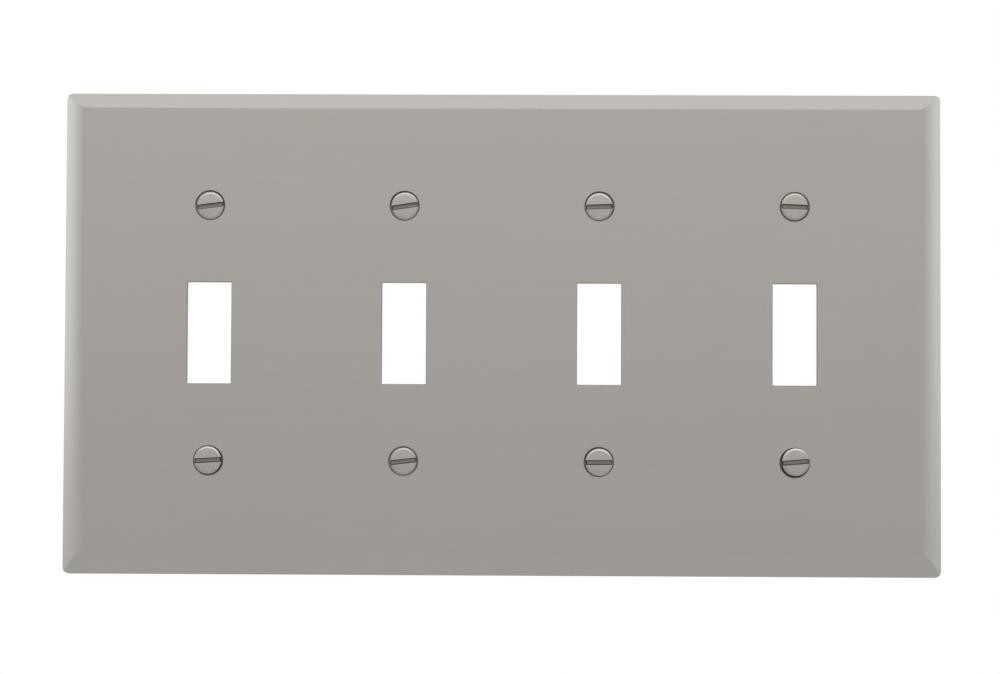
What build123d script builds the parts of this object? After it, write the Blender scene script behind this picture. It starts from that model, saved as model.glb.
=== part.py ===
from build123d import *
import math
import os

# Four-gang toggle wall plate with its eight screws, in millimetres.
# X is to the right, Z is up and the front looks along -Y.
# The origin is the middle of the plate in the plane of the wall.

# The plate as a whole
plate_width = 208.0
plate_height = 114.3
plate_depth = 5.6
metal_thickness = 1.6
corner_radius = 1.7
inside_corner_radius = 0.6

# The edges: a short lip stands on the wall, and a bevel runs from it up to the flat face.
# The bottom bevel is wider than the top one, and the two side bevels are crowned and blend softly.
lip_height = 1.0
lip_edge_radius = 0.25
top_bevel = 3.9
bottom_bevel = 5.7
side_bevel = 5.2
side_crown = 0.45
crease_radius = 0.2
side_crease_radius = 3.0

# Gang layout, shared by the toggle openings and the screws
gang_pitch = 46.04
screw_spacing = 60.325

# Toggle openings
toggle_width = 10.4
toggle_height = 23.9
toggle_corner_radius = 0.25
toggle_edge_break = 0.15

# Countersunk screw holes
screw_hole_diameter = 4.4
countersink_diameter = 7.2
countersink_angle = 82.0

# Oval head slotted machine screw: a low dome with a sloping shoulder round it, over a cone that
# ends at the rim. The length is from the rim to the tip, and the shank has the outer diameter of
# its thread.
screw_diameter = 3.5
screw_length = 12.7
head_diameter = 6.5
shoulder_width = 0.4
shoulder_height = 0.35
dome_height = 0.08
slot_width = 1.05
slot_depth = 0.9
point_chamfer = 0.45
seat_clearance = 0.02

# How each screw lies in its hole, from the left: the slot's turn from level in degrees, and how far
# the head stands to the right of and above the middle of the hole
upper_screws = [(7.5, 0.0, -0.10), (8.6, 0.06, -0.08), (2.0, -0.06, -0.08), (-2.5, 0.0, 0.06)]
lower_screws = [(3.7, -0.13, 0.08), (6.5, 0.0, 0.0), (0.5, 0.10, -0.07), (4.8, 0.26, 0.19)]

# Worked out from the sizes above
gang_count = len(upper_screws)
gang_places = [(gang - (gang_count - 1) / 2) * gang_pitch for gang in range(gang_count)]
row_height = screw_spacing / 2
seat_slope = math.tan(math.radians(countersink_angle / 2))
overrun = 2 * metal_thickness
touching = 0.01

# The planes of the three profiles that the plate is the common body of
across = Plane(origin=(0, 0, 0), x_dir=(1, 0, 0), z_dir=(0, 0, -1))
upright = Plane(origin=(0, 0, 0), x_dir=(0, 0, 1), z_dir=(1, 0, 0))
front = Plane.XZ


def bevel_line(start, end, crown):
    """One bevel in profile, bowed outwards by its crown."""
    if crown > 0:
        return SagittaArc(start, end, crown)
    return Line(start, end)


def pressed_profile(half_span, low_bevel, high_bevel, crown):
    """The plate's profile with sharp creases. It runs past the wall plane, where the body is cut off."""
    low_foot, high_foot = (-half_span, -overrun), (half_span, -overrun)
    low_lip, high_lip = (-half_span, lip_height), (half_span, lip_height)
    low_crease = (low_bevel - half_span, plate_depth)
    high_crease = (half_span - high_bevel, plate_depth)
    outline = [
        Line(low_foot, low_lip),
        bevel_line(low_lip, low_crease, crown),
        Line(low_crease, high_crease),
        bevel_line(high_crease, high_lip, crown),
        Line(high_lip, high_foot),
        Line(high_foot, low_foot),
    ]
    return make_face(outline)


def soften(profile, crease):
    """Rounds a profile's two creases and the two outer edges of its lip."""
    profile = fillet(profile.vertices().group_by(Axis.Y)[-1], crease)
    return fillet(profile.vertices().group_by(Axis.Y)[1], lip_edge_radius)


def common_body(side_profile, end_profile):
    """The body that has one profile across the plate and the other one up it."""
    wide = extrude(across * side_profile, plate_height / 2 + overrun, both=True)
    tall = extrude(upright * end_profile, plate_width / 2 + overrun, both=True)
    return wide & tall


def rounded_block(width, height, radius, near, far):
    """A block with rounded upright edges, from one distance in front of the wall to another."""
    outline = front.offset(near) * RectangleRounded(width, height, radius)
    return extrude(outline, far - near)


def pressed_shell():
    """The plate's metal before it is pierced: bevelled in front and hollow behind."""
    side_profile = pressed_profile(plate_width / 2, side_bevel, side_bevel, side_crown)
    end_profile = pressed_profile(plate_height / 2, bottom_bevel, top_bevel, 0)
    outside = common_body(soften(side_profile, side_crease_radius), soften(end_profile, crease_radius))
    outside &= rounded_block(plate_width, plate_height, corner_radius, 0, plate_depth + overrun)
    inside = common_body(
        offset(side_profile, -metal_thickness, kind=Kind.INTERSECTION),
        offset(end_profile, -metal_thickness, kind=Kind.INTERSECTION),
    )
    inside &= rounded_block(
        plate_width - 2 * metal_thickness,
        plate_height - 2 * metal_thickness,
        inside_corner_radius,
        -overrun,
        plate_depth,
    )
    return outside - inside


def toggle_opening(centre):
    """The block that pierces one toggle opening."""
    outline = front * Pos(centre, 0) * RectangleRounded(toggle_width, toggle_height, toggle_corner_radius)
    return extrude(outline, plate_depth + overrun)


def front_rim(body, centre):
    """The edges of one toggle opening that lie in the front face."""
    rim = []
    for edge in body.edges():
        middle = edge.center()
        in_face = abs(middle.Y + plate_depth) < touching
        in_width = abs(middle.X - centre) < toggle_width / 2 + touching
        in_height = abs(middle.Z) < toggle_height / 2 + touching
        if in_face and in_width and in_height:
            rim.append(edge)
    return rim


def screw_hole(centre, height):
    """The turned body that bores one screw hole and its countersink."""
    mouth, throat = countersink_diameter / 2, screw_hole_diameter / 2
    outline = Polyline(
        (0, overrun),
        (mouth + overrun * seat_slope, overrun),
        (throat, (throat - mouth) / seat_slope),
        (throat, -plate_depth),
        (0, -plate_depth),
        close=True,
    )
    bore = revolve(Plane.XZ * make_face(outline), Axis.Z)
    return Plane(origin=(centre, -plate_depth, height), x_dir=(1, 0, 0), z_dir=(0, -1, 0)) * bore


def wall_plate():
    """The pressed plate with its toggle openings and countersunk holes."""
    plate = pressed_shell()
    for centre in gang_places:
        plate -= toggle_opening(centre)
    for centre in gang_places:
        plate = chamfer(front_rim(plate, centre), min(toggle_edge_break, metal_thickness / 3))
    for centre in gang_places:
        for height in (row_height, -row_height):
            plate -= screw_hole(centre, height)
    return plate


def screw():
    """One screw, head up, with its origin in the middle of its rim."""
    head, shank, shoulder = head_diameter / 2, screw_diameter / 2, head_diameter / 2 - shoulder_width
    top, neck, tip = shoulder_height + dome_height, (shank - head) / seat_slope, -screw_length
    head_outline = Polyline(
        (0, 2 * top),
        (shoulder - shoulder_width, 2 * top),
        (shoulder - shoulder_width, 2 * shoulder_height),
        (head, 0),
        (shank, neck),
        (0, neck),
        close=True,
    )
    shank_outline = Polyline(
        (0, neck),
        (shank, neck),
        (shank, tip + point_chamfer),
        (shank - point_chamfer, tip),
        (0, tip),
        close=True,
    )
    ball_radius = (shoulder**2 + dome_height**2) / (2 * dome_height)
    ball = Pos(0, 0, top - ball_radius) * Rot(0, 90, 0) * Sphere(ball_radius)
    domed_head = revolve(Plane.XZ * make_face(head_outline), Axis.Z) & ball
    slot = Pos(0, 0, top - slot_depth) * Box(
        2 * head_diameter,
        slot_width,
        2 * slot_depth,
        align=(Align.CENTER, Align.CENTER, Align.MIN),
    )
    return domed_head + revolve(Plane.XZ * make_face(shank_outline), Axis.Z) - slot


def seated(body, centre, height, turn, right, up):
    """A screw laid in its countersink: off centre, it rides up the seat on that side until it clears."""
    seat_depth = (countersink_diameter - head_diameter) / 2 / seat_slope
    lift = math.hypot(right, up) / seat_slope + seat_clearance
    place = Plane(
        origin=(centre + right, seat_depth - lift - plate_depth, height + up),
        x_dir=(1, 0, 0),
        z_dir=(0, -1, 0),
    )
    return place * Rot(0, 0, turn) * body


pieces = {"wall_plate": wall_plate()}
plain_screw = screw()
for row, height, row_screws in (("upper", row_height, upper_screws), ("lower", -row_height, lower_screws)):
    for gang, (turn, right, up) in enumerate(row_screws):
        name = f"screw_{row}_{gang + 1}"
        pieces[name] = seated(plain_screw, gang_places[gang], height, turn, right, up)

os.makedirs("parts", exist_ok=True)
for name, piece in pieces.items():
    export_step(piece, f"parts/{name}.step")
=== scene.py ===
import math

import bmesh
import bpy
from mathutils import Matrix, Vector


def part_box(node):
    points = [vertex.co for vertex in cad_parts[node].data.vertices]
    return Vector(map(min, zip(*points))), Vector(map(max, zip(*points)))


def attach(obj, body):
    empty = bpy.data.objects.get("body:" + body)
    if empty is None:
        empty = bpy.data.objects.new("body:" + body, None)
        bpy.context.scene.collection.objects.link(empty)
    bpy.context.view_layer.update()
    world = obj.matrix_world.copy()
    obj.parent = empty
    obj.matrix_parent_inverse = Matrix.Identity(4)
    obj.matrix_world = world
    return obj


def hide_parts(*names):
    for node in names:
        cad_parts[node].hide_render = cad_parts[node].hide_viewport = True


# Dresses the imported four-gang toggle wall plate: satin metal finishes, threaded screws, and a plain
# studio with the camera. Lengths are in metres, and mm turns millimetres into them. Angles are in
# degrees.

mm = 0.001

PLATE_NODE = "wall_plate"

# The turn of each screw's slot from level, as the CAD nodes have it
SLOT_TURNS = {
    "screw_upper_1": 7.5,
    "screw_upper_2": 8.6,
    "screw_upper_3": 2.0,
    "screw_upper_4": -2.5,
    "screw_lower_1": 3.7,
    "screw_lower_2": 6.5,
    "screw_lower_3": 0.5,
    "screw_lower_4": 4.8,
}

# Head of the oval head screw: a low dome, a sloping shoulder, a short upright land at the rim and
# the cone below it. A reach is how far the rounding of a corner goes to either side.
HEAD_RADIUS = 3.25 * mm
SHOULDER_WIDTH = 0.4 * mm
SHOULDER_HEIGHT = 0.35 * mm
DOME_HEIGHT = 0.08 * mm
RIM_LAND = 0.1 * mm
HEAD_CONE_ANGLE = 82
HEAD_CONE_SLOPE = math.tan(math.radians(HEAD_CONE_ANGLE / 2))
SHOULDER_REACH = 0.05 * mm
RIM_REACH = 0.02 * mm

# Shank with its 6-32 thread. The crest and the root are shares of the pitch, and the thread deepens
# over the run-in below the neck and fades over the run-out above the tip.
SHANK_RADIUS = 1.75 * mm
SCREW_LENGTH = 12.7 * mm
POINT_CHAMFER = 0.45 * mm
THREAD_PITCH = 0.794 * mm
THREAD_DEPTH = 0.46 * mm
THREAD_CREST = 0.12
THREAD_ROOT = 0.25
THREAD_RUN_IN = THREAD_PITCH
THREAD_RUN_OUT = THREAD_PITCH / 2
SPARE_TURNS = 2

# Slot, and how far its cutter reaches from the screw's axis
SLOT_WIDTH = 1.05 * mm
SLOT_DEPTH = 0.9 * mm
SLOT_EDGE = 0.05 * mm
SLOT_FLOOR_RADIUS = 0.2 * mm
CUTTER_REACH = 1.2 * HEAD_RADIUS

# How finely the screw is meshed, the angle from which its edges stay crisp, and the distance within
# which its points are joined
SCREW_SEGMENTS = 72
DOME_RINGS = 12
CORNER_STEPS = 4
SLOT_STATIONS = 24
SLOT_CORNER_STEPS = 3
SHARP_ANGLE = 32
WELD = 0.0002 * mm

# Camera, as the photograph was taken: a little below the plate and almost square to it. The lens is
# its focal length in millimetres.
CAMERA_PLACE = Vector((9.26, -650.0, -25.3)) * mm
CAMERA_YAW = 0.854
CAMERA_TILT = 2.178
CAMERA_ROLL = 0.254
CAMERA_LENS = 98.48
CAMERA_CLIP = (0.01, 20)

# Which of the plate's faces lie in a countersink, at an opening or along the top crease. A reach is
# taken from the middle of the hole or opening, or from the front face. The tilt is the least upward
# part of a crease face's normal, and a face is flat from that share of its normal on out or back.
PLATE_DEPTH = 5.6 * mm
GANG_PITCH = 46.04 * mm
GANG_COUNT = 4
MIDDLE_GANG = (GANG_COUNT - 1) / 2
SCREW_SPACING = 60.325 * mm
SEAT_REACH = 3.7 * mm
OPENING_REACH = Vector((5.5, 12.3)) * mm
CREASE_REACH = 0.1 * mm
CREASE_TILT = 0.05
FLAT = 0.999

# The plate's finishes, by their places in its list of materials; the countersinks' and the edges' are
# darker by painted shade
BRUSHED, SHADED_COUNTERSINK, SHADED_EDGE = 0, 1, 2

# Colours of the metal
PLATE_COLOUR = (0.375, 0.350, 0.325)
# Painted shade: the seat colour darkens the countersinks round the screw heads
SEAT_SHADE_COLOUR = (0.290, 0.268, 0.246)
# Painted shade: the edge colour darkens the top crease and the edges of the toggle openings
EDGE_SHADE_COLOUR = (0.265, 0.247, 0.230)
SCREW_COLOUR = (0.355, 0.335, 0.308)
# Bare cut metal and painted shade: the slot colour is darker than the screw's
SLOT_SHADE_COLOUR = (0.215, 0.195, 0.170)

# Each noise's scale along the three axes, its detail and its roughness, and the part of its values
# that is spread over a range
GRAIN = ((240, 9000, 9000), 4, 0.6)
BANDS = ((12, 420, 420), 3, 0.6)
CLOUDS = ((22, 22, 22), 3, 0.5)
SPECKS = ((2500, 2500, 2500), 3, 0.6)
SCREW_CLOUDS = ((300, 300, 300), 2, 0.6)
SLOT_SCRATCHES = ((300, 4000, 4000), 3, 0.6)
NOISE_SPREAD = (0.25, 0.75)
TURNED_MARKS = {"Scale": 1500, "Distortion": 1.5, "Detail": 3.0, "Detail Scale": 2.0}

# The range of brightness that each noise gives to a colour
GRAIN_SHADE = (0.98, 1.02)
BAND_SHADE = (0.993, 1.007)
CLOUD_SHADE = (0.993, 1.007)
SCREW_SPECK_SHADE = (0.96, 1.04)
SCREW_CLOUD_SHADE = (0.97, 1.03)
CUT_SPECK_SHADE = (0.95, 1.05)
SCRATCH_SHADE = (0.9, 1.1)

# Gloss: the roughness of each metal, as a range where noise varies it, and the fine relief
METAL_IOR = 1.5
PLATE_ROUGHNESS = (0.32, 0.38)
PLATE_ANISOTROPY = 0.3
SCREW_ROUGHNESS = (0.38, 0.46)
CUT_ROUGHNESS = 0.5
SLOT_ROUGHNESS = 0.45
PLATE_RELIEF = 0.15
SCREW_RELIEF = 0.3
RELIEF_HEIGHT = 0.004 * mm

# Painted shade along the slot's lower wall: the slot metal's brightness at the first and at the second of
# two places across the slot, measured up from its middle line
SLOT_LOWER_WALL_SHADE = (0.1, 1.0)
SLOT_LOWER_WALL_SHADE_SPAN = (-0.48 * SLOT_WIDTH, -0.2 * SLOT_WIDTH)

# Studio: a matt floor well below the plate that fades to white between two shares of its radius,
# and a white surround that lights rough surfaces only by the fill
FLOOR_PLACE = Vector((0.0, -1.3, -0.25))
FLOOR_RADIUS = 2.1
FLOOR_SEGMENTS = 96
FLOOR_FADE = (0.5, 0.95)
FLOOR_COLOUR = (0.80, 0.79, 0.78, 1.0)
WHITE = (1.0, 1.0, 1.0, 1.0)
WHITE_STRENGTH = 1.0
FILL_STRENGTH = 0.37

# The lamps' colours and the points that they look at
NEUTRAL = (1.0, 1.0, 1.0)
PALE_BLUE = (0.92, 0.97, 1.0)
SKY_BLUE = (0.82, 0.91, 1.0)
MIDDLE = (0.0, 0.0, 0.0)
UNDER = (0.0, -0.08, -0.25)

# Each lamp's place, the point it looks at, its width and height, its power and its colour. The low
# one lights the floor under the plate, which the bottom bevel mirrors.
LAMPS = {
    "above": ((0.0, -0.12, 1.00), MIDDLE, 2.4, 0.7, 5.4, PALE_BLUE),
    "front_above": ((0.05, -1.30, 1.40), MIDDLE, 3.4, 1.9, 24.0, NEUTRAL),
    "left_behind": ((-0.80, 0.43, 0.34), MIDDLE, 1.3, 0.8, 2.9, SKY_BLUE),
    "right_behind": ((0.80, 0.43, 0.34), MIDDLE, 1.3, 0.8, 2.4, SKY_BLUE),
    "low": ((0.0, -0.08, -0.12), UNDER, 0.5, 0.2, 0.08, NEUTRAL),
}


def node(tree, kind, inputs=None, **settings):
    """Adds a shader node, with its settings and its unlinked input values."""
    made = tree.nodes.new(kind)
    for name, value in settings.items():
        setattr(made, name, value)
    for name, value in (inputs or {}).items():
        made.inputs[name].default_value = value
    return made


def new_material(name):
    """An empty node material and its output node."""
    material = bpy.data.materials.new(name)
    material.use_nodes = True
    material.node_tree.nodes.clear()
    return material, material.node_tree, node(material.node_tree, "ShaderNodeOutputMaterial")


def surface_noise(tree, scale, detail, roughness):
    """Noise over the object's own coordinates, with one scale for each axis."""
    place = node(tree, "ShaderNodeTexCoord")
    mapping = node(tree, "ShaderNodeMapping", {"Scale": scale})
    noise = node(tree, "ShaderNodeTexNoise", {"Scale": 1.0, "Detail": detail, "Roughness": roughness})
    tree.links.new(place.outputs["Object"], mapping.inputs["Vector"])
    tree.links.new(mapping.outputs["Vector"], noise.inputs["Vector"])
    return noise.outputs["Fac"]


def remap(tree, value, wanted, given=NOISE_SPREAD):
    """Spreads a value over the wanted range from the given one, which is that of noise by default."""
    limits = {"From Min": given[0], "From Max": given[1], "To Min": wanted[0], "To Max": wanted[1]}
    made = node(tree, "ShaderNodeMapRange", limits)
    tree.links.new(value, made.inputs["Value"])
    return made.outputs["Result"]


def maths(tree, operation, first, second):
    """One maths node on two values, each a socket or a number."""
    made = node(tree, "ShaderNodeMath", operation=operation)
    for socket, value in zip(made.inputs, (first, second)):
        if isinstance(value, (int, float)):
            socket.default_value = value
        else:
            tree.links.new(value, socket)
    return made.outputs["Value"]


def tinted(tree, colour, brightness):
    """A colour times a brightness that varies over the surface."""
    scaled = node(tree, "ShaderNodeVectorMath", operation="SCALE")
    scaled.inputs[0].default_value = colour
    tree.links.new(brightness, scaled.inputs["Scale"])
    return scaled.outputs["Vector"]


def metal(tree, inputs):
    """The shader of bare metal, with the inputs that set one metal apart."""
    return node(tree, "ShaderNodeBsdfPrincipled", {"Metallic": 1.0, "IOR": METAL_IOR, **inputs})


def plate_material():
    """Satin nickel with a fine grain along the plate."""
    material, tree, output = new_material("satin_nickel_plate")
    grain = surface_noise(tree, *GRAIN)
    bands = surface_noise(tree, *BANDS)
    clouds = surface_noise(tree, *CLOUDS)
    grain_shade = remap(tree, grain, GRAIN_SHADE)
    wide_shade = maths(tree, "MULTIPLY", remap(tree, bands, BAND_SHADE), remap(tree, clouds, CLOUD_SHADE))
    shade = maths(tree, "MULTIPLY", grain_shade, wide_shade)
    shader = metal(tree, {"Anisotropic": PLATE_ANISOTROPY})
    bump = node(tree, "ShaderNodeBump", {"Strength": PLATE_RELIEF, "Distance": RELIEF_HEIGHT})
    tangent = node(tree, "ShaderNodeCombineXYZ", {"X": 1.0})
    tree.links.new(tinted(tree, PLATE_COLOUR, shade), shader.inputs["Base Color"])
    tree.links.new(remap(tree, grain, PLATE_ROUGHNESS), shader.inputs["Roughness"])
    tree.links.new(grain, bump.inputs["Height"])
    tree.links.new(bump.outputs["Normal"], shader.inputs["Normal"])
    tree.links.new(tangent.outputs["Vector"], shader.inputs["Tangent"])
    tree.links.new(shader.outputs["BSDF"], output.inputs["Surface"])
    return material


def screw_material():
    """Satin nickel plating over turned marks that circle each screw's own axis."""
    material, tree, output = new_material("satin_nickel_screw")
    place = node(tree, "ShaderNodeTexCoord")
    rings = node(tree, "ShaderNodeTexWave", TURNED_MARKS, wave_type="RINGS", rings_direction="Z")
    tree.links.new(place.outputs["Object"], rings.inputs["Vector"])
    specks = surface_noise(tree, *SPECKS)
    clouds = surface_noise(tree, *SCREW_CLOUDS)
    speck_shade = remap(tree, specks, SCREW_SPECK_SHADE)
    shade = maths(tree, "MULTIPLY", speck_shade, remap(tree, clouds, SCREW_CLOUD_SHADE))
    shader = metal(tree, {})
    bump = node(tree, "ShaderNodeBump", {"Strength": SCREW_RELIEF, "Distance": RELIEF_HEIGHT})
    tree.links.new(tinted(tree, SCREW_COLOUR, shade), shader.inputs["Base Color"])
    tree.links.new(remap(tree, specks, SCREW_ROUGHNESS), shader.inputs["Roughness"])
    tree.links.new(rings.outputs["Fac"], bump.inputs["Height"])
    tree.links.new(bump.outputs["Normal"], shader.inputs["Normal"])
    tree.links.new(shader.outputs["BSDF"], output.inputs["Surface"])
    return material


def shaded_cut_material(name, colour):
    """Cut or bent metal that the brush doesn't reach, a little rougher than the face and darker than it
    by painted shade.
    """
    material, tree, output = new_material(name)
    shade = remap(tree, surface_noise(tree, *SPECKS), CUT_SPECK_SHADE)
    shader = metal(tree, {"Roughness": CUT_ROUGHNESS})
    tree.links.new(tinted(tree, colour, shade), shader.inputs["Base Color"])
    tree.links.new(shader.outputs["BSDF"], output.inputs["Surface"])
    return material


def shaded_slot_material():
    """The cut metal inside a screw's slot, in a colour darkened by painted shade, and darker still
    towards its lower wall by more painted shade.
    """
    material, tree, output = new_material("screw_slot")
    place = node(tree, "ShaderNodeTexCoord")
    axes = node(tree, "ShaderNodeSeparateXYZ")
    tree.links.new(place.outputs["Object"], axes.inputs["Vector"])
    # Painted shade: darker towards the slot's lower wall
    lower_wall_shade = remap(tree, axes.outputs["Y"], SLOT_LOWER_WALL_SHADE, SLOT_LOWER_WALL_SHADE_SPAN)
    scratches = surface_noise(tree, *SLOT_SCRATCHES)
    shade = maths(tree, "MULTIPLY", lower_wall_shade, remap(tree, scratches, SCRATCH_SHADE))
    shader = metal(tree, {"Roughness": SLOT_ROUGHNESS})
    tree.links.new(tinted(tree, SLOT_SHADE_COLOUR, shade), shader.inputs["Base Color"])
    tree.links.new(shader.outputs["BSDF"], output.inputs["Surface"])
    return material


def dome_top(radius):
    """The height of the head's dome over its rim, at a distance from the axis."""
    shoulder = HEAD_RADIUS - SHOULDER_WIDTH
    ball = (shoulder**2 + DOME_HEIGHT**2) / (2 * DOME_HEIGHT)
    return SHOULDER_HEIGHT + DOME_HEIGHT - ball + math.sqrt(ball**2 - radius**2)


def softened(before, corner, after, reach):
    """The points of a profile's corner, rounded over a short reach on either side of it."""
    start = corner + (before - corner).normalized() * reach
    end = corner + (after - corner).normalized() * reach
    shares = [step / CORNER_STEPS for step in range(CORNER_STEPS + 1)]
    return [start * (1 - t) ** 2 + corner * 2 * t * (1 - t) + end * t**2 for t in shares]


def head_rings():
    """Radius and height of the rings from the top of the dome to the neck, the pole left out."""
    shoulder = HEAD_RADIUS - SHOULDER_WIDTH
    dome_edge = Vector((shoulder, SHOULDER_HEIGHT))
    land, rim = Vector((HEAD_RADIUS, RIM_LAND)), Vector((HEAD_RADIUS, 0))
    neck = Vector((SHANK_RADIUS, (SHANK_RADIUS - HEAD_RADIUS) / HEAD_CONE_SLOPE))
    inner = shoulder - SHOULDER_REACH
    radii = [inner * (ring + 1) / DOME_RINGS for ring in range(DOME_RINGS)]
    rings = [Vector((radius, dome_top(radius))) for radius in radii]
    rings += softened(rings[-1], dome_edge, land, SHOULDER_REACH)[1:]
    rings += softened(dome_edge, land, rim, RIM_REACH)
    rings += softened(land, rim, neck, RIM_REACH)
    rings.append(neck)
    return rings


def smooth_step(value):
    """0 below 0 and 1 above 1, with an even swing between them."""
    value = min(max(value, 0.0), 1.0)
    return value * value * (3 - 2 * value)


def thread_point(angle, row_height, in_root, top, tip):
    """One point of the thread's surface. Rows past either end are drawn back to it."""
    height = min(max(row_height, tip), top)
    crest = min(SHANK_RADIUS, SHANK_RADIUS - POINT_CHAMFER + height - tip)
    depth = smooth_step((top - height) / THREAD_RUN_IN) * smooth_step((height - tip) / THREAD_RUN_OUT)
    radius = crest - (THREAD_DEPTH * depth if in_root else 0)
    return Vector((radius * math.cos(angle), radius * math.sin(angle), height))


def thread_rows(top, tip):
    """The start height of each helical row and whether it lies in the root, from the neck down."""
    flank = (1 - THREAD_CREST - THREAD_ROOT) / 2
    shares = (
        (0, False),
        (THREAD_CREST, False),
        (THREAD_CREST + flank, True),
        (THREAD_CREST + flank + THREAD_ROOT, True),
    )
    turns = range(math.ceil((top - tip) / THREAD_PITCH) + SPARE_TURNS)
    return [(top - (turn + share) * THREAD_PITCH, root) for turn in turns for share, root in shares]


def screw_body():
    """The threaded screw before its slot is cut, head up, with its origin in the middle of its rim."""
    body = bmesh.new()
    neck, tip = (SHANK_RADIUS - HEAD_RADIUS) / HEAD_CONE_SLOPE, -SCREW_LENGTH
    angles = [math.tau * k / SCREW_SEGMENTS for k in range(SCREW_SEGMENTS + 1)]
    pole = body.verts.new((0, 0, dome_top(0)))
    above = None
    for radius, height in head_rings():
        ring = [body.verts.new((radius * math.cos(a), radius * math.sin(a), height)) for a in angles]
        for k in range(SCREW_SEGMENTS):
            if above:
                body.faces.new((above[k], ring[k], ring[k + 1], above[k + 1]))
            else:
                body.faces.new((pole, ring[k], ring[k + 1]))
        above = ring
    for start, in_root in thread_rows(neck, tip):
        row = []
        for angle in angles:
            along = start + THREAD_PITCH * angle / math.tau
            row.append(body.verts.new(thread_point(angle, along, in_root, neck, tip)))
        for k in range(SCREW_SEGMENTS):
            body.faces.new((above[k], row[k], row[k + 1], above[k + 1]))
        above = row
    bmesh.ops.remove_doubles(body, verts=body.verts, dist=WELD)
    bmesh.ops.dissolve_degenerate(body, edges=body.edges, dist=WELD)
    bmesh.ops.holes_fill(body, edges=[edge for edge in body.edges if edge.is_boundary])
    bmesh.ops.recalc_face_normals(body, faces=body.faces)
    return to_object("threaded_screw", body)


def to_object(name, body):
    """Turns a bmesh into an object of that name."""
    mesh = bpy.data.meshes.new(name)
    body.to_mesh(mesh)
    body.free()
    made = bpy.data.objects.new(name, mesh)
    bpy.context.scene.collection.objects.link(made)
    return made


def slot_cutter():
    """What the slot takes away: a channel with rounded floor corners and a chamfer along the dome."""
    half, floor, clear = SLOT_WIDTH / 2, dome_top(0) - SLOT_DEPTH, HEAD_RADIUS
    cutter = bmesh.new()
    stations = []
    for k in range(SLOT_STATIONS + 1):
        along = CUTTER_REACH * (2 * k / SLOT_STATIONS - 1)
        inside = min(math.hypot(along, half), HEAD_RADIUS - SHOULDER_WIDTH)
        edge = dome_top(inside)
        side = [(half + SLOT_EDGE + clear, edge + clear), (half, edge - SLOT_EDGE)]
        for step in range(SLOT_CORNER_STEPS + 1):
            angle = math.pi / 2 * step / SLOT_CORNER_STEPS
            across = half - SLOT_FLOOR_RADIUS * (1 - math.cos(angle))
            side.append((across, floor + SLOT_FLOOR_RADIUS * (1 - math.sin(angle))))
        outline = side + [(-across, height) for across, height in reversed(side)]
        stations.append([cutter.verts.new((along, across, height)) for across, height in outline])
    count = len(stations[0])
    for near, far in zip(stations, stations[1:]):
        for k in range(count):
            cutter.faces.new((near[k], near[(k + 1) % count], far[(k + 1) % count], far[k]))
    cutter.faces.new(stations[0])
    cutter.faces.new(stations[-1])
    bmesh.ops.recalc_face_normals(cutter, faces=cutter.faces)
    return to_object("slot_cutter", cutter)


def slotted_screw(finish, slot_metal_and_shade):
    """The finished mesh of one screw. The faces that the slot leaves get its own material, with painted
    shade.
    """
    body, cutter = screw_body(), slot_cutter()
    body.data.materials.append(finish)
    cutter.data.materials.append(slot_metal_and_shade)
    cut = body.modifiers.new("slot", "BOOLEAN")
    cut.operation = "DIFFERENCE"
    cut.solver = "EXACT"
    cut.material_mode = "TRANSFER"
    cut.object = cutter
    evaluated = body.evaluated_get(bpy.context.evaluated_depsgraph_get())
    mesh = bpy.data.meshes.new_from_object(evaluated)
    bpy.data.objects.remove(body)
    bpy.data.objects.remove(cutter)
    mesh.shade_smooth()
    mesh.set_sharp_from_angle(angle=math.radians(SHARP_ANGLE))
    return mesh


def add_screws(finish, slot_metal_and_shade):
    """One threaded screw over each CAD screw, at its place and with its slot's turn."""
    mesh = slotted_screw(finish, slot_metal_and_shade)
    for name, turn in SLOT_TURNS.items():
        low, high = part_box(name)
        rim = Vector(((low.x + high.x) / 2, high.y - SCREW_LENGTH, (low.z + high.z) / 2))
        piece = bpy.data.objects.new("threaded_" + name, mesh.copy())
        bpy.context.scene.collection.objects.link(piece)
        head_out = Matrix.Rotation(math.radians(90), 4, "X")
        slot_turn = Matrix.Rotation(math.radians(turn), 4, "Z")
        piece.matrix_world = Matrix.Translation(rim) @ head_out @ slot_turn
        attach(piece, "root")
        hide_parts(name)


def plate_finish_at(place, normal):
    """The finish of one face of the plate, from the face's middle and its normal."""
    if abs(normal.y) > FLAT:
        return BRUSHED
    gang = round(place.x / GANG_PITCH + MIDDLE_GANG)
    across = abs(place.x - (gang - MIDDLE_GANG) * GANG_PITCH)
    if math.hypot(across, abs(place.z) - SCREW_SPACING / 2) < SEAT_REACH:
        return SHADED_COUNTERSINK
    # The top crease and the openings' edges take the darker colour that paints shade there
    in_opening = across < OPENING_REACH.x and abs(place.z) < OPENING_REACH.y
    in_top_crease = normal.z > CREASE_TILT and place.y < CREASE_REACH - PLATE_DEPTH
    return SHADED_EDGE if in_opening or in_top_crease else BRUSHED


def finish_plate(plate, finishes_and_shades):
    """Gives the CAD plate its materials: the brushed one, and the countersinks' and the edges', which are
    darker by painted shade.
    """
    plate.data.materials.clear()
    for finish in finishes_and_shades:
        plate.data.materials.append(finish)
    for face in plate.data.polygons:
        face.material_index = plate_finish_at(face.center, face.normal)


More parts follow.
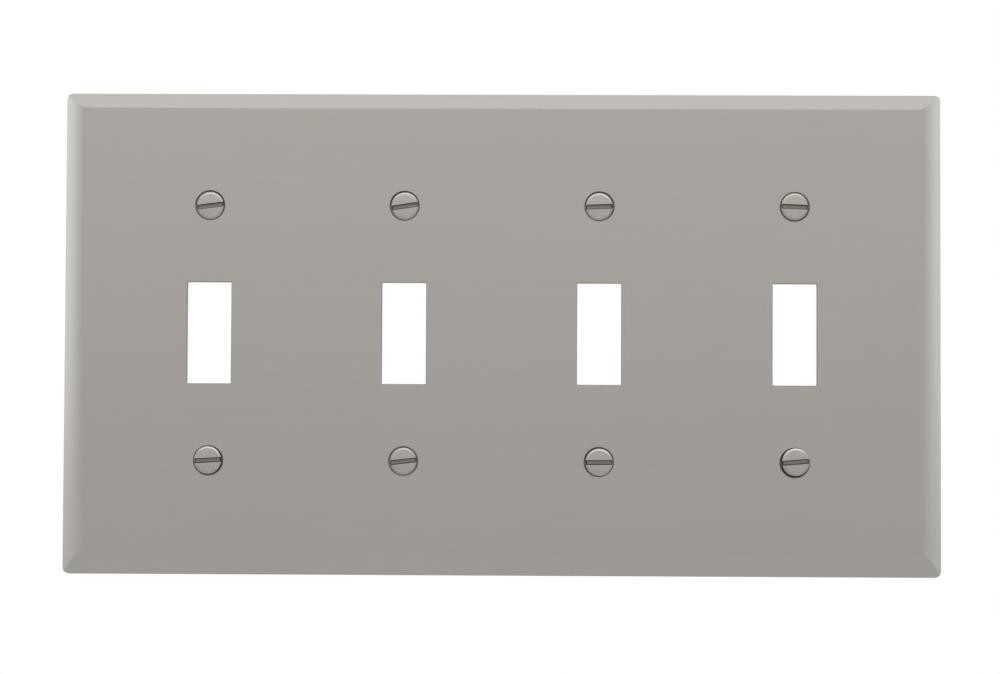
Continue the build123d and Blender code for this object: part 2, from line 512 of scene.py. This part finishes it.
def add_camera():
    """The photograph's camera."""
    data = bpy.data.cameras.new("camera")
    data.lens = CAMERA_LENS
    data.clip_start, data.clip_end = CAMERA_CLIP
    camera = bpy.data.objects.new("camera", data)
    bpy.context.scene.collection.objects.link(camera)
    yaw = Matrix.Rotation(math.radians(CAMERA_YAW), 4, "Z")
    tilt = Matrix.Rotation(math.radians(90 + CAMERA_TILT), 4, "X")
    roll = Matrix.Rotation(math.radians(CAMERA_ROLL), 4, "Z")
    camera.matrix_world = Matrix.Translation(CAMERA_PLACE) @ yaw @ tilt @ roll
    bpy.context.scene.camera = camera


def seen_directly(tree):
    """1 for what the camera, a mirror or glass sees, and 0 for light on rough surfaces."""
    path = node(tree, "ShaderNodeLightPath")
    shiny = maths(tree, "MAXIMUM", path.outputs["Is Glossy Ray"], path.outputs["Is Transmission Ray"])
    return maths(tree, "MAXIMUM", path.outputs["Is Camera Ray"], shiny)


def white_world():
    """White where it is seen or mirrored, and a soft fill elsewhere."""
    world = bpy.data.worlds.new("studio")
    world.use_nodes = True
    tree = world.node_tree
    tree.nodes.clear()
    output = node(tree, "ShaderNodeOutputWorld")
    background = node(tree, "ShaderNodeBackground", {"Color": WHITE})
    strength = remap(tree, seen_directly(tree), (FILL_STRENGTH, WHITE_STRENGTH), (0.0, 1.0))
    tree.links.new(strength, background.inputs["Strength"])
    tree.links.new(background.outputs["Background"], output.inputs["Surface"])
    bpy.context.scene.world = world


def floor_material():
    """Pale and plain, fading to the white of the background towards its edge."""
    material, tree, output = new_material("floor")
    place = node(tree, "ShaderNodeTexCoord")
    distance = node(tree, "ShaderNodeVectorMath", operation="LENGTH")
    tree.links.new(place.outputs["Object"], distance.inputs[0])
    fade = node(
        tree,
        "ShaderNodeMapRange",
        {"From Min": FLOOR_RADIUS * FLOOR_FADE[0], "From Max": FLOOR_RADIUS * FLOOR_FADE[1]},
        interpolation_type="SMOOTHSTEP",
    )
    tree.links.new(distance.outputs["Value"], fade.inputs["Value"])
    matt = node(tree, "ShaderNodeBsdfDiffuse", {"Color": FLOOR_COLOUR})
    white = node(tree, "ShaderNodeEmission", {"Color": WHITE, "Strength": WHITE_STRENGTH})
    mix = node(tree, "ShaderNodeMixShader")
    shown = maths(tree, "MULTIPLY", fade.outputs["Result"], seen_directly(tree))
    tree.links.new(shown, mix.inputs["Fac"])
    tree.links.new(matt.outputs["BSDF"], mix.inputs[1])
    tree.links.new(white.outputs["Emission"], mix.inputs[2])
    tree.links.new(mix.outputs["Shader"], output.inputs["Surface"])
    return material


def add_floor():
    """A round floor well below the plate."""
    disc = bmesh.new()
    bmesh.ops.create_circle(disc, cap_ends=True, segments=FLOOR_SEGMENTS, radius=FLOOR_RADIUS)
    floor = to_object("floor", disc)
    floor.location = FLOOR_PLACE
    floor.data.materials.append(floor_material())


def add_lamps():
    """Soft area lamps round the plate."""
    for name, (place, target, width, height, power, colour) in LAMPS.items():
        data = bpy.data.lights.new(name, "AREA")
        data.shape = "RECTANGLE"
        data.size, data.size_y = width, height
        data.energy, data.color = power, colour
        lamp = bpy.data.objects.new(name, data)
        bpy.context.scene.collection.objects.link(lamp)
        lamp.location = place
        look = Vector(target) - Vector(place)
        lamp.rotation_euler = look.to_track_quat("-Z", "Y").to_euler()


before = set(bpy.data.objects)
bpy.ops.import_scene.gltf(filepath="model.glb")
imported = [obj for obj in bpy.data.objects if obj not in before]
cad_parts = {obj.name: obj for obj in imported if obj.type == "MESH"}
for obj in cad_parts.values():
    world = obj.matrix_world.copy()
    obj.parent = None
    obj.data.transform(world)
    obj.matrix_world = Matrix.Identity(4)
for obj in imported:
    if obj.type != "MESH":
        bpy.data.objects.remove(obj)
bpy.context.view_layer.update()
# The two cut finishes are darker by painted shade in the countersinks, along the top crease and at the
# openings' edges
plate_finishes_and_shades = (
    plate_material(),
    shaded_cut_material("countersink", SEAT_SHADE_COLOUR),
    shaded_cut_material("edge", EDGE_SHADE_COLOUR),
)
finish_plate(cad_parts[PLATE_NODE], plate_finishes_and_shades)
add_screws(screw_material(), shaded_slot_material())
add_floor()
add_lamps()
white_world()
add_camera()
bpy.context.scene.view_settings.view_transform = "Standard"
